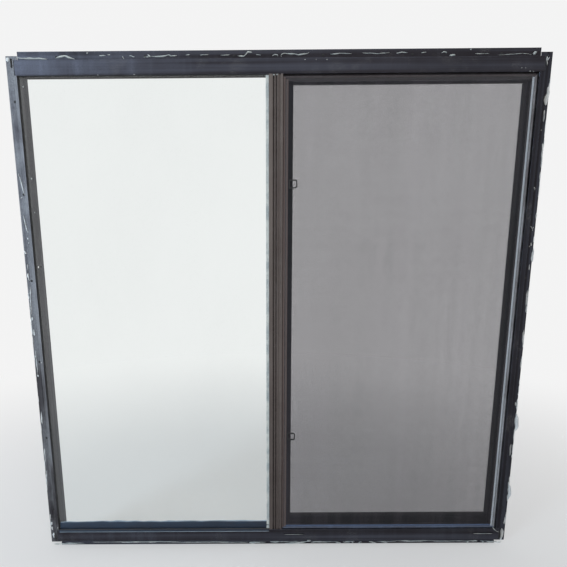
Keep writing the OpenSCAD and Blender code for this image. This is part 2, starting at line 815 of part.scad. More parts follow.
module screen_bottom_rail() {
    color(bronze_light) translate([screen_l, y_screen, screen_z0])
        mirror([1, 0, -1]) mitred(screen_w) screen_section();
}

module screen_top_rail() {
    color(bronze_light) translate([screen_l, y_screen, screen_z1])
        mirror([0, 0, 1]) mirror([1, 0, -1]) mitred(screen_w) screen_section();
}

module screen_mesh() {
    color(mesh_grey)
        translate([screen_l + mesh_in, y_screen - mesh_t, screen_z0 + mesh_in])
            cube([screen_w - 2 * mesh_in, mesh_t, screen_h - 2 * mesh_in]);
}

// The spline that holds the mesh: one cord on each side, clear of its neighbours
module screen_spline() {
    r = spline_d / 2;
    clear = mesh_in + spline_d;
    color(rubber) {
        for (x = [screen_l + mesh_in, screen_r - mesh_in])
            translate([x, y_screen + r, screen_z0 + clear])
                cylinder(r = r, h = screen_h - 2 * clear, $fn = 16);
        for (z = [screen_z0 + mesh_in, screen_z1 - mesh_in])
            translate([screen_l + clear, y_screen + r, z]) rotate([0, 90, 0])
                cylinder(r = r, h = screen_w - 2 * clear, $fn = 16);
    }
}

// Springs on the pocket floor that carry the screen by its lower flange
module screen_springs() {
    spring_l = 30;
    spring_t = 3;
    z0 = z_bot + pocket_floor;
    z1 = screen_z0 - screen_flange;
    for (x = [screen_l + roller_in, screen_r - roller_in - spring_l])
        color(bronze_light) translate([x, y_screen + screen_t - spring_t, z0])
            cube([spring_l, spring_t, z1 - z0]);
}

// A square whose two outer corners are round
module tab_outline(size) {
    r = size / 4;
    translate([0, -size / 2]) square([size - r, size]);
    translate([0, r - size / 2]) square([size, size - 2 * r]);
    for (s = [-1, 1]) translate([size - r, s * (size / 2 - r)]) circle(r = r, $fn = 32);
}

// A loop of flat strip that lies on the mesh beside the screen's left stile
tab_gap = 2;                         // gap between that stile and the loop
module pull_tab(z) {
    translate([screen_l + screen_bar + tab_gap, y_screen - mesh_t, z_bot + z])
        rotate([90, 0, 0]) linear_extrude(height = tab_t)
            difference() {
                tab_outline(tab_size);
                translate([tab_t, 0]) tab_outline(tab_size - 2 * tab_t);
            }
}

module screen_pull_upper() { color(rubber) pull_tab(tab_upper_z); }
module screen_pull_lower() { color(rubber) pull_tab(tab_lower_z); }

frame_head();
frame_sill();
frame_jamb_left();
frame_jamb_right();
corner_pads();
meeting_mullion();
fixed_glass();
setting_blocks();
glazing_gasket_left();
glazing_gasket_top();
glazing_gasket_bottom();
mullion_sealant();
sash_lock_stile();
sash_meeting_stile();
sash_top_rail();
sash_bottom_rail();
sash_glass();
sash_gasket_left();
sash_gasket_right();
sash_gasket_top();
sash_gasket_bottom();
roller_housing_left();
roller_housing_right();
roller_left();
roller_right();
pile_lock();
pile_meeting();
pile_top();
pile_bottom();
sash_latch();
latch_lever();
sash_bumper();
screen_top_rail();
screen_bottom_rail();
screen_left_stile();
screen_right_stile();
screen_mesh();
screen_spline();
screen_springs();
screen_pull_upper();
screen_pull_lower();
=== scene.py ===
import bpy
import math
import numpy as np
from mathutils import Matrix, Vector


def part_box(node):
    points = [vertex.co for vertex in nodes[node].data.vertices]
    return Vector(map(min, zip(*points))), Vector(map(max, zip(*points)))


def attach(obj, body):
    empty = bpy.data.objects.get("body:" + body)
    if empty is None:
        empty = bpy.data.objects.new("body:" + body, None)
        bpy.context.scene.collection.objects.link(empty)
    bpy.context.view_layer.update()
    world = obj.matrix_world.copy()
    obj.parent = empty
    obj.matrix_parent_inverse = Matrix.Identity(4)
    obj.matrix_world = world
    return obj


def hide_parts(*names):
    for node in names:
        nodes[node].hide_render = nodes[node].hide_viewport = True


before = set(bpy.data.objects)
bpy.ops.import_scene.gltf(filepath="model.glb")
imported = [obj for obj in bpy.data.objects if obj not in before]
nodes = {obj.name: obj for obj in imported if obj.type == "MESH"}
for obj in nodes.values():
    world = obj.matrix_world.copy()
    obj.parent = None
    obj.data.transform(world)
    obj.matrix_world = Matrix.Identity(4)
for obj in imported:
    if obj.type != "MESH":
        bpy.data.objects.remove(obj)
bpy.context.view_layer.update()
MM = 0.001

# Camera, standing outdoors in front of the window a little left of its middle.
# It looks 11 degrees down, and both shifts set the framing.
CAMERA_PLACE = (-0.0530, -1.2536, 0.8155)
CAMERA_PITCH = math.radians(11.366)
CAMERA_YAW = math.radians(-0.233)
CAMERA_ROLL = math.radians(-0.386)
lens = bpy.data.cameras.new("camera")
lens.sensor_width = 36.0
lens.lens = 31.75
lens.shift_x = 0.0500
lens.shift_y = 0.1007
lens.clip_start = 0.02
camera = bpy.data.objects.new("camera", lens)
camera.matrix_world = (Matrix.Translation(CAMERA_PLACE)
                       @ Matrix.Rotation(-CAMERA_YAW, 4, "Z")
                       @ Matrix.Rotation(math.pi / 2 - CAMERA_PITCH, 4, "X")
                       @ Matrix.Rotation(CAMERA_ROLL, 4, "Z"))
bpy.context.scene.collection.objects.link(camera)
bpy.context.scene.camera = camera
bpy.context.scene.view_settings.view_transform = "Standard"


# Head, sill and jambs: extruded aluminium bars, etched and anodised dark bronze.
# Years outdoors left them chalky, dusty and scuffed; their chalk is partly a painted sheen, heavy on the left
# and scant on the right.
def feed(tree, socket, value):
    """Gives an input its value: one that is a socket is linked, any other is set."""
    if isinstance(value, bpy.types.NodeSocket):
        tree.links.new(value, socket)
    else:
        socket.default_value = value


def put(tree, kind, values=None, **settings):
    """One shader node with its settings and the values of its inputs."""
    made = tree.nodes.new(kind)
    for name, setting in settings.items():
        setattr(made, name, setting)
    for name, value in (values or {}).items():
        feed(tree, made.inputs[name], value)
    return made


def group(name, inputs, outputs):
    """An empty node group with named inputs, each with its value, and outputs."""
    tree = bpy.data.node_groups.new(name, "ShaderNodeTree")
    for label, kind, value in inputs:
        made = tree.interface.new_socket(label, in_out="INPUT", socket_type="NodeSocket" + kind)
        made.default_value = value
    for label, kind in outputs:
        tree.interface.new_socket(label, in_out="OUTPUT", socket_type="NodeSocket" + kind)
    return tree, tree.nodes.new("NodeGroupInput").outputs, tree.nodes.new("NodeGroupOutput").inputs


def effect(tree, shared, values):
    """A shared effect placed in a material with its own values."""
    return put(tree, "ShaderNodeGroup", values, node_tree=shared).outputs


def ramp(tree, value, low, high, out_low=0.0, out_high=1.0):
    """value goes smoothly from out_low at low to out_high at high."""
    return put(tree, "ShaderNodeMapRange",
               {"Value": value, "From Min": low, "From Max": high, "To Min": out_low, "To Max": out_high},
               interpolation_type="SMOOTHSTEP").outputs["Result"]


def math_node(tree, operation, first, second=0.0):
    """One step of arithmetic on two values."""
    return put(tree, "ShaderNodeMath", {0: first, 1: second}, operation=operation).outputs[0]


def mixed(tree, factor, under, over):
    """Colour over laid on colour under as far as factor says."""
    return put(tree, "ShaderNodeMix", {0: factor, 6: under, 7: over}, data_type="RGBA").outputs[2]


def axes(tree, vector):
    """The X, Y and Z of a vector."""
    return put(tree, "ShaderNodeSeparateXYZ", {0: vector}).outputs


def painted(name):
    """A new material, with its tree, its shader and the place on the object."""
    made = bpy.data.materials.new(name)
    made.use_nodes = True
    tree = made.node_tree
    return made, tree, tree.nodes["Principled BSDF"], put(tree, "ShaderNodeTexCoord").outputs["Object"]


def linear(red, green, blue):
    """A colour given as it shows, 0 to 255, turned into the renderer's numbers."""
    share = np.array([red, green, blue]) / 255
    return tuple(np.where(share <= 0.04045, share / 12.92, ((share + 0.055) / 1.055) ** 2.4)) + (1.0,)


def noise(tree, place, scale, stretch=(1, 1, 1), detail=3.0, rough=0.55):
    """Noise over a place, whose axes are first multiplied by stretch."""
    spread = put(tree, "ShaderNodeVectorMath", {0: place, 1: stretch}, operation="MULTIPLY").outputs[0]
    return put(tree, "ShaderNodeTexNoise",
               {"Vector": spread, "Scale": scale, "Detail": detail, "Roughness": rough}).outputs["Fac"]


# Die lines: fine lines and slow waves that run along an extrusion.
die_lines, given, result = group(
    "die_lines", [("Place", "Vector", (0, 0, 0)), ("Stretch", "Vector", (1, 1, 1))],
    [("Lines", "Float"), ("Waves", "Float")])
for label, scale in (("Lines", 900.0), ("Waves", 70.0)):
    die_lines.links.new(noise(die_lines, given["Place"], scale, given["Stretch"], 2.0, 0.5), result[label])

# Chalk: the pale bloom of weathered anodising, in clouds and in runs of rain.
chalk, given, result = group("chalk", [("Place", "Vector", (0, 0, 0)), ("Amount", "Float", 0.3)],
                             [("Mask", "Float")])
clouds = noise(chalk, given["Place"], 7.0, (1, 1, 1), 6.0, 0.62)
runs = noise(chalk, given["Place"], 60.0, (1, 1, 0.05), 4.0, 0.6)
specks = noise(chalk, given["Place"], 420.0, (1, 1, 1), 2.0, 0.5)
cover = math_node(chalk, "ADD", math_node(chalk, "MULTIPLY", ramp(chalk, clouds, 0.35, 0.72), 0.55),
                  math_node(chalk, "MULTIPLY", ramp(chalk, runs, 0.42, 0.75), 0.45))
cover = math_node(chalk, "MULTIPLY", cover, ramp(chalk, specks, 0.30, 0.62, 0.55, 1.0))
chalk.links.new(math_node(chalk, "MULTIPLY", cover, given["Amount"]), result["Mask"])

# Scuffs: short bright scratches and pale chips scattered over a surface.
scuffs, given, result = group("scuffs", [("Place", "Vector", (0, 0, 0)), ("Amount", "Float", 0.3)],
                              [("Scratches", "Float"), ("Chips", "Float")])
bend = put(scuffs, "ShaderNodeTexNoise", {"Vector": given["Place"], "Scale": 9.0}).outputs["Color"]
bent = put(scuffs, "ShaderNodeVectorMath", {0: given["Place"], 1: bend}, operation="ADD").outputs[0]
thin = noise(scuffs, bent, 34.0, (9, 9, 1.1), 2.0, 0.5)
off_line = math_node(scuffs, "ABSOLUTE", math_node(scuffs, "SUBTRACT", thin, 0.5))
line = ramp(scuffs, off_line, 0.0, 0.012, 1.0, 0.0)
where = ramp(scuffs, noise(scuffs, given["Place"], 16.0, (1, 1, 1), 3.0), 0.56, 0.68)
scuffs.links.new(math_node(scuffs, "MULTIPLY", math_node(scuffs, "MULTIPLY", line, where), given["Amount"]),
                 result["Scratches"])
spots = put(scuffs, "ShaderNodeTexVoronoi", {"Vector": given["Place"], "Scale": 55.0, "Randomness": 1.0})
small = ramp(scuffs, spots.outputs["Distance"], 0.05, 0.10, 1.0, 0.0)
rare = ramp(scuffs, put(scuffs, "ShaderNodeSeparateColor", {"Color": spots.outputs["Color"]}).outputs[0],
            0.93, 0.95)
scuffs.links.new(math_node(scuffs, "MULTIPLY", math_node(scuffs, "MULTIPLY", small, rare), given["Amount"]),
                 result["Chips"])

# Bare edges: how far a spot lies on a sharp edge, and a normal that rounds it.
bare_edges, given, result = group("bare_edges", [("Reach", "Float", 0.0006)],
                                  [("Mask", "Float"), ("Normal", "Vector")])
rounded = put(bare_edges, "ShaderNodeBevel", {"Radius": given["Reach"]}, samples=4).outputs[0]
flat = put(bare_edges, "ShaderNodeNewGeometry").outputs["Normal"]
along = put(bare_edges, "ShaderNodeVectorMath", {0: rounded, 1: flat},
            operation="DOT_PRODUCT").outputs["Value"]
bare_edges.links.new(ramp(bare_edges, along, 0.80, 0.985, 1.0, 0.0), result["Mask"])
bare_edges.links.new(rounded, result["Normal"])

# Painted shade and soot: how deep a spot lies in a groove or corner, which the bars darken
# as painted shade, where soot and dust stay too.
groove_shade_and_soot, given, result = group("groove_shade_and_soot", [("Reach", "Float", 0.006)], [("Mask", "Float")])
hidden = put(groove_shade_and_soot, "ShaderNodeAmbientOcclusion", {"Distance": given["Reach"]}, samples=4).outputs["AO"]
groove_shade_and_soot.links.new(ramp(groove_shade_and_soot, hidden, 0.30, 0.92, 1.0, 0.0), result["Mask"])

# The reach of edges and of grooves, and the x between which chalk and a painted sheen thin
# from the window's left to near its middle, in metres; and the share of chalk indoors.
EDGE_REACH = 0.0006
GROOVE_REACH = 0.006
SHEEN_CHALK_LEFT = -0.60
SHEEN_CHALK_MIDDLE = -0.08
INDOOR_CHALK = 0.10
SHADE_SOOT_COLOUR = linear(20, 17, 18)
SCRATCH = linear(178, 176, 172)
CHIP = linear(196, 194, 188)


def anodised(name, colour, pale, stretch, chalk_sheen, scuffed, rough=0.36, metal=0.75,
             chalk_sheen_right=None, groove_shade_soot=0.55):
    """Anodised aluminium bar: colour under pale chalk, with die lines along the bar,
    scratches, chips, edges rubbed paler, and grooves darkened by painted shade and soot.
    Where chalk_sheen_right is given, the chalk goes from chalk_sheen at the window's left
    to it near the middle, partly a painted sheen. Faces that don't look outdoors have a tenth of the chalk."""
    made, tree, shader, place = painted(name)
    lines = effect(tree, die_lines, {"Place": place, "Stretch": stretch})
    # Chalk that thins from the left to the middle: partly a painted sheen of the light from the left.
    if chalk_sheen_right is not None:
        chalk_sheen = ramp(tree, axes(tree, place)["X"], SHEEN_CHALK_LEFT, SHEEN_CHALK_MIDDLE, chalk_sheen, chalk_sheen_right)
    facing = axes(tree, put(tree, "ShaderNodeNewGeometry").outputs["Normal"])["Y"]
    outdoors = ramp(tree, facing, -0.80, -0.40, 1.0, INDOOR_CHALK)
    chalk_sheen = math_node(tree, "MULTIPLY", outdoors, chalk_sheen)
    chalk_sheen_bloom = effect(tree, chalk, {"Place": place, "Amount": chalk_sheen})["Mask"]
    marks = effect(tree, scuffs, {"Place": place, "Amount": scuffed})
    edge = effect(tree, bare_edges, {"Reach": EDGE_REACH})
    tone = noise(tree, place, 3.0, (1, 1, 1), 4.0)
    shader.inputs["Specular Tint"].default_value = (0.45, 0.46, 0.50, 1.0)
    base = mixed(tree, ramp(tree, tone, 0.3, 0.7), colour, tuple(0.78 * c for c in colour[:3]) + (1.0,))
    base = mixed(tree, ramp(tree, lines["Waves"], 0.40, 0.75, 0.0, 0.22), base, pale)
    base = mixed(tree, chalk_sheen_bloom, base, pale)
    # Grooves and corners darkened by painted shade, and by soot.
    groove_shade_share = math_node(tree, "MULTIPLY", effect(tree, groove_shade_and_soot, {"Reach": GROOVE_REACH})["Mask"], groove_shade_soot)
    base = mixed(tree, groove_shade_share, base, SHADE_SOOT_COLOUR)
    rubbed = ramp(tree, noise(tree, place, 120.0), 0.40, 0.62, 0.10, 0.55)
    worn = math_node(tree, "MULTIPLY", edge["Mask"], rubbed)
    base = mixed(tree, worn, base, tuple(min(1.0, 1.5 * c + 0.02) for c in pale[:3]) + (1.0,))
    base = mixed(tree, marks["Scratches"], base, SCRATCH)
    base = mixed(tree, marks["Chips"], base, CHIP)
    tree.links.new(base, shader.inputs["Base Color"])
    dull = math_node(tree, "ADD", math_node(tree, "MULTIPLY", chalk_sheen_bloom, 0.45),
                     ramp(tree, lines["Lines"], 0.3, 0.7, rough - 0.05, rough + 0.08))
    tree.links.new(dull, shader.inputs["Roughness"])
    tree.links.new(math_node(tree, "MULTIPLY", math_node(tree, "SUBTRACT", 1.0, chalk_sheen_bloom), metal),
                   shader.inputs["Metallic"])
    height = math_node(tree, "ADD", lines["Lines"], math_node(tree, "MULTIPLY", chalk_sheen_bloom, 0.6))
    relief = put(tree, "ShaderNodeBump", {"Height": height, "Strength": 0.10, "Distance": 0.0004,
                                          "Normal": edge["Normal"]}).outputs["Normal"]
    tree.links.new(relief, shader.inputs["Normal"])
    return made


def dress(material, *names):
    """Gives CAD nodes a material."""
    for name in names:
        mesh = nodes[name].data
        mesh.materials.clear()
        mesh.materials.append(material)


ALONG_X = (0.012, 1.0, 1.0)
ALONG_Z = (1.0, 1.0, 0.012)
BRONZE = linear(45, 42, 46)
BRONZE_PALE = linear(120, 126, 142)
CHALK_SHEEN_PALE = linear(168, 170, 174)
# Head and sill: their chalk thins from left to middle, partly as a painted sheen.
dress(anodised("bronze_head", BRONZE, BRONZE_PALE, ALONG_X, chalk_sheen=0.42, scuffed=0.5, chalk_sheen_right=0.05),
      "frame_head")
dress(anodised("bronze_sill", BRONZE, BRONZE_PALE, ALONG_X, chalk_sheen=0.26, scuffed=0.4, chalk_sheen_right=0.10),
      "frame_sill")
# The left jamb's heavy, pale chalk is chalk and a painted sheen; the right jamb's darker bronze and scant
# chalk are painted shade.
dress(anodised("bronze_jamb_left_sheen", BRONZE, CHALK_SHEEN_PALE, ALONG_Z, chalk_sheen=0.78, scuffed=0.7, groove_shade_soot=0.8),
      "frame_jamb_left")
dress(anodised("bronze_jamb_right_shaded", linear(38, 36, 40), BRONZE_PALE, ALONG_Z, chalk_sheen=0.06, scuffed=0.7),
      "frame_jamb_right")


# Corner pads: thin foam gaskets, squeezed between the jambs and the ends of the
# head and sill when the frame is screwed together.
def plain(name, colour, other, rough, scale=300.0, bump=0.25, depth=0.0005, stretch=(1, 1, 1), metal=0.0):
    """A dull material of two close colours, mixed and raised by one fine noise."""
    made, tree, shader, place = painted(name)
    fine = noise(tree, place, scale, stretch, 4.0)
    broad = noise(tree, place, scale / 14, stretch, 4.0)
    share = math_node(tree, "ADD", ramp(tree, broad, 0.35, 0.68, 0.0, 0.7),
                      ramp(tree, fine, 0.4, 0.7, 0.0, 0.3))
    tree.links.new(mixed(tree, share, colour, other), shader.inputs["Base Color"])
    tree.links.new(ramp(tree, fine, 0.2, 0.8, rough - 0.08, rough + 0.10), shader.inputs["Roughness"])
    shader.inputs["Metallic"].default_value = metal
    relief = put(tree, "ShaderNodeBump", {"Height": fine, "Strength": bump, "Distance": depth})
    tree.links.new(relief.outputs["Normal"], shader.inputs["Normal"])
    return made


# The pads' near-black foam is also painted shade: it stands for the shade in the gap at each corner.
dress(plain("foam", linear(26, 26, 27), linear(48, 47, 46), rough=0.85), "corner_pads")


# Assembly screws: pan-head steel screws through each jamb's web, one into each of
# the two screw ports of the head and of the sill.
def revolve(rings, steps):
    """Points of a profile (radius, height) turned about a vertical axis, one row a ring."""
    turn = np.linspace(0, 2 * np.pi, steps, endpoint=False)
    rings = np.array(rings, float)
    radius, height = rings[:, :1], rings[:, 1:]
    return np.stack([radius * np.cos(turn), radius * np.sin(turn), height + 0 * turn], axis=-1)


def grid_faces(rows, columns):
    """Quads between neighbouring rows of a grid whose last column joins the first."""
    i, j = np.meshgrid(np.arange(rows - 1), np.arange(columns), indexing="ij")
    a, b = i * columns + j, i * columns + (j + 1) % columns
    return np.stack([a, b, b + columns, a + columns], axis=-1).reshape(-1, 4)


def tube_faces(rows, columns):
    """Faces of a closed tube: the quads between its rings, and a cap on each end."""
    caps = [list(range(columns))[::-1], list(range((rows - 1) * columns, rows * columns))]
    return [list(f) for f in grid_faces(rows, columns)] + caps


def mesh_piece(name, points, faces, material, slot, body, smooth=True):
    """A new piece from points in millimetres and faces, with its material and body; slot is not used."""
    mesh = bpy.data.meshes.new(name)
    places = np.asarray(points).reshape(-1, 3) * MM
    mesh.from_pydata(places.tolist(), [], [list(map(int, f)) for f in faces])
    mesh.materials.append(material)
    mesh.polygons.foreach_set("use_smooth", np.full(len(mesh.polygons), smooth))
    mesh.update()
    made = bpy.data.objects.new(name, mesh)
    bpy.context.scene.collection.objects.link(made)
    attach(made, body)
    return made


def joined(shapes):
    """Many (points, faces) as one list of points and one of faces."""
    points, faces, start = [], [], 0
    for place, face in shapes:
        place = np.asarray(place).reshape(-1, 3)
        points.append(place)
        faces.extend([list(np.asarray(f) + start) for f in face])
        start += len(place)
    return np.concatenate(points), faces


SCREW_RADIUS = 3.6
SCREW_HEIGHT = 1.9
SCREW_STEPS = 20
RECESS = 0.42
WEB_OUT = 603.0
PORT_HEIGHTS = (16.4, 1213.6)
PORT_DEPTHS = (-15.4, 26.3)


def pan_head():
    """A screw head round +Z: a flat rim, a domed crown, and a sunk cross recess drawn as
    a dip of the three inner rings, deepest along the two axes of the cross."""
    shares = ((0.96, 0.0), (1.0, 0.12), (0.97, 0.5), (0.8, 0.88), (0.55, 1.0),
              (0.45, 1.01), (0.30, 1.01), (0.12, 1.0))
    place = revolve([(SCREW_RADIUS * out, SCREW_HEIGHT * up) for out, up in shares], SCREW_STEPS)
    turn = np.arctan2(place[..., 1], place[..., 0])
    arm = np.clip(np.abs(np.cos(2 * turn)) * 3 - 2, 0, 1)
    inner = np.array([0, 0, 0, 0, 0, 1, 1, 1.0])[:, None]
    place[..., 2] -= inner * (0.25 + 0.75 * arm) * SCREW_HEIGHT * RECESS
    return place, tube_faces(len(shares), SCREW_STEPS)


def aimed(place, at, axis):
    """Points made round +Z, turned so that +Z points along axis, then moved to at."""
    place = np.asarray(place).reshape(-1, 3)
    turned = {"+x": np.stack([place[:, 2], place[:, 0], place[:, 1]], 1),
              "-x": np.stack([-place[:, 2], -place[:, 0], place[:, 1]], 1),
              "-y": np.stack([place[:, 0], -place[:, 2], place[:, 1]], 1)}[axis]
    return turned + np.array(at)


screw_steel = plain("screw_steel", linear(96, 92, 88), linear(70, 60, 52),
                    rough=0.42, scale=600.0, bump=0.2, depth=0.0002, metal=0.85)
heads = []
for side, axis in ((-1, "-x"), (1, "+x")):
    for up in PORT_HEIGHTS:
        for back in PORT_DEPTHS:
            place, face = pan_head()
            heads.append((aimed(place, (side * WEB_OUT, back, up), axis), face))
mesh_piece("assembly_screws", *joined(heads), screw_steel, "spring_metal", "frame")


# Mastic: black butyl that came through the fin's fixing holes when the window was
# bedded, dried flush with the fin and gone dusty. The black plugs in the slots are painted shade.
mastic_and_shade = plain("mastic_and_shade", linear(10, 10, 11), linear(26, 25, 26),
               rough=0.7, scale=420.0, bump=0.5, depth=0.0004)
HOLE = 2.7
HOLE_STEPS = 14
HOLE_PITCH_UP = 208.0
HOLE_PITCH_ALONG = 204.0
MID_HEIGHT = 615.0
FIN_MIDDLE = 615.0
FIN_HEIGHTS = (1230.0, 0.0)
SLOT_RADIUS = 2.45
SLOT_REACH = 7.7
SLOT_STEPS = 24
SLOT_HEIGHTS = (12.0, 1218.0)
dome = ((0.01, -0.1), (HOLE, -0.1), (HOLE, 1.6), (HOLE * 0.8, 1.9), (HOLE * 0.4, 2.05), (0.01, 2.1))
plugs = []
for row in np.arange(6) - 2.5:
    spots = [(side * FIN_MIDDLE, MID_HEIGHT + HOLE_PITCH_UP * row) for side in (-1, 1)]
    spots += [(HOLE_PITCH_ALONG * row, up) for up in FIN_HEIGHTS]
    for x, z in spots:
        plugs.append((aimed(revolve(dome, HOLE_STEPS), (x, -0.1, z), "-y"),
                      grid_faces(len(dome), HOLE_STEPS)))
# Slot plugs: painted shade, black fills where the slots beside the corners show shade.
turn = np.linspace(0, 2 * np.pi, SLOT_STEPS, endpoint=False)
wide = SLOT_RADIUS * np.cos(turn)
tall = SLOT_RADIUS * np.sin(turn) + np.sign(np.sin(turn)) * SLOT_REACH
layers = [np.stack([wide * share, np.full(SLOT_STEPS, deep), tall * share], 1)
          for share, deep in ((0.02, -0.05), (1, -0.05), (1, -1.45), (0.02, -1.5))]
for side in (-1, 1):
    for up in SLOT_HEIGHTS:
        shape = np.stack(layers) + np.array([side * FIN_MIDDLE, 0, up])
        plugs.append((shape.reshape(-1, 3), grid_faces(len(layers), SLOT_STEPS)))
mesh_piece("mastic_and_shade_plugs", *joined(plugs), mastic_and_shade, "rubber", "frame")


# Old sealant: what is left of the bead that bedded the fin, off-white and grimy.
# It stays on the fins, on the joints beside them and on the corners.
FIN_FACE = -1.6
clean_sealant = plain("clean_sealant", linear(240, 240, 236), linear(198, 202, 204),
                      rough=0.70, scale=500.0, bump=0.5, depth=0.0006)
sealant = plain("old_sealant", linear(214, 214, 206), linear(150, 158, 160),
                rough=0.72, scale=500.0, bump=0.5, depth=0.0006)
RAGGED = 0.45
chance = np.random.default_rng(5374)


def smear(path, width, height, lift=FIN_FACE):
    """A lump of sealant along a path of (x, z) points on a face that looks to -Y at lift.
    Its half width is width/2 times a slow random wave that closes at both ends; its
    thickness is height times the root of one minus the square of the place across."""
    path = np.asarray(path, float)
    steps = np.concatenate([[0], np.cumsum(np.hypot(*np.diff(path, axis=0).T))])
    count = int(np.clip(steps[-1] / 2.2, 7, 60))
    s = np.linspace(0, 1, count)
    mid = np.stack([np.interp(s * steps[-1], steps, path[:, k]) for k in (0, 1)], 1)
    ahead = np.gradient(mid, axis=0)
    ahead /= np.maximum(np.hypot(*ahead.T), 1e-9)[:, None]
    side = np.stack([-ahead[:, 1], ahead[:, 0]], 1)
    waves = max(4, count // 3)
    wave = np.interp(s, np.linspace(0, 1, waves), chance.uniform(1 - RAGGED, 1 + RAGGED, waves))
    drifts = max(4, count // 4)
    drift = np.interp(s, np.linspace(0, 1, drifts), chance.uniform(-0.25, 0.25, drifts))
    close = np.minimum(1, np.sin(np.pi * np.clip(s, 0.0, 1.0)) ** 0.6 * 1.25)
    half = width / 2 * wave * close + 0.02
    t = np.array([-1, -0.72, -0.3, 0.2, 0.65, 1])
    rise = np.sqrt(np.clip(1 - t ** 2, 0, 1)) * height
    lumps = 1 + chance.uniform(-0.35, 0.35, (count, len(t)))
    across = half[:, None] * t + (drift * width)[:, None]
    x = mid[:, :1] + side[:, :1] * across
    z = mid[:, 1:] + side[:, 1:] * across
    top = np.stack([x, lift - rise * lumps * (0.3 + 0.7 * close[:, None]), z], -1)
    low = np.stack([x, np.full_like(x, lift + 0.15), z], -1)[:, ::-1]
    ring = np.concatenate([top, low], axis=1)
    return ring, tube_faces(count, ring.shape[1])


def scatter(along, start, end, level, spread, width, height, share, pitch=26.0):
    """Broken bead on a straight joint of the fin: lumps of random length with gaps
    between them. share is the chance that a lump is there."""
    bends = 5
    made, here = [], start
    while here < end:
        length = chance.uniform(0.35, 1.5) * pitch
        if chance.random() < share:
            run = np.linspace(here, min(end, here + length), bends)
            off = level + np.cumsum(chance.uniform(-1, 1, bends)) * spread / 2
            path = np.stack([run, off], 1) if along == "x" else np.stack([off, run], 1)
            made.append(smear(path, width * chance.uniform(0.5, 1.4), height * chance.uniform(0.6, 1.3)))
        here += length * chance.uniform(0.8, 1.5)
    return made


# Lumps seen on each side: width, thickness, and the (x, z) points each one follows.
HEAD = (
    (3.6, 1.6, ((-602, 1230), (-580, 1227), (-546, 1227), (-531, 1226))),
    (3.4, 1.6, ((-513, 1227), (-502, 1231), (-490, 1232), (-479, 1228), (-467, 1226))),
    (3.2, 1.4, ((-440, 1237), (-437, 1239))), (2.6, 1, ((-412, 1232), (-405, 1233), (-396, 1232))),
    (1.4, 0.8, ((-392, 1234), (-386, 1234))), (1.8, 1.2, ((-359, 1231), (-354, 1225))),
    (2, 0.9, ((-343, 1232), (-329, 1229))), (1.6, 0.9, ((-309, 1229), (-295, 1229))),
    (2.2, 1.2, ((-300, 1234), (-294, 1230), (-294, 1228))),
    (2.6, 1.2, ((-294, 1230), (-275, 1230), (-263, 1230), (-252, 1233), (-246, 1230), (-232, 1231))),
    (1.6, 0.8, ((-214, 1232), (-203, 1233))), (1.8, 0.8, ((-180, 1232), (-160, 1233))),
    (1.6, 0.8, ((-134, 1231), (-111, 1232))),
    (2.8, 1.4, ((-94, 1230), (-80, 1229), (-74, 1234), (-71, 1238), (-60, 1236))),
    (1.6, 0.8, ((-52, 1232), (-40, 1231))),
    (2, 1.1, ((-15, 1228), (-13, 1231), (-8, 1232), (-2, 1231), (-1, 1227))),
    (2.4, 1.2, ((7, 1226), (6, 1231), (12, 1234), (26, 1233), (38, 1233), (46, 1231), (55, 1232),
                (66, 1233), (72, 1237))),
    (2.2, 1, ((372, 1232), (378, 1235), (385, 1233), (382, 1231))),
    (3, 1.2, ((391, 1227), (405, 1228))), (2.6, 1.3, ((438, 1238), (441, 1240))),
    (1.2, 0.7, ((501, 1227), (529, 1228), (557, 1230), (581, 1228))),
    (4.6, 1.8, ((582, 1228), (590, 1234))), (1.4, 0.7, ((326, 1233), (339, 1234))),
    (1.2, 0.7, ((449, 1230), (483, 1230))), (1.8, 0.9, ((118, 1231), (140, 1233), (168, 1232))),
    (1.8, 0.9, ((191, 1234), (227, 1232), (255, 1234))),
    (1.6, 0.9, ((269, 1232), (282, 1235), (296, 1233))),
)
LEFT = (
    (5.4, 1.8, ((-623, 1231), (-622.5, 1221))),
    (2.4, 1.4, ((-623, 976), (-619, 961), (-615, 938), (-611, 920))),
    (1.8, 1, ((-623, 918), (-618, 922))),
    (2.6, 1.4, ((-621, 879), (-618, 864), (-616, 847), (-613, 836))),
    (2.6, 1.4, ((-615, 825), (-614, 820))), (2.8, 1.4, ((-614, 814), (-613, 810))),
    (4, 1.8, ((-626, 794), (-622, 785))), (1.6, 1, ((-622, 761), (-622, 744))),
    (3.6, 1.5, ((-623, 739), (-622, 729), (-620, 718))),
    (2, 1.4, ((-620, 706), (-622, 671), (-624, 631))), (3.6, 1.8, ((-622, 628), (-622, 619))),
    (3.6, 1.6, ((-622, 597), (-621, 579))), (2, 1.2, ((-622, 542), (-622, 508), (-622, 479))),
    (3.4, 1.4, ((-622, 478), (-621, 471))), (2.4, 1.2, ((-622, 378), (-623, 342))),
    (2.2, 1.2, ((-623, 274), (-624, 234))), (2.4, 1.3, ((-623, 211), (-626, 152))),
    (3.4, 1.6, ((-625, 81), (-624, 66))), (3.4, 1.6, ((-623, 58), (-622, 48))),
    (3, 1.4, ((-622, 43), (-622, 32))), (5, 2, ((-620, 25), (-619, 9))),
)
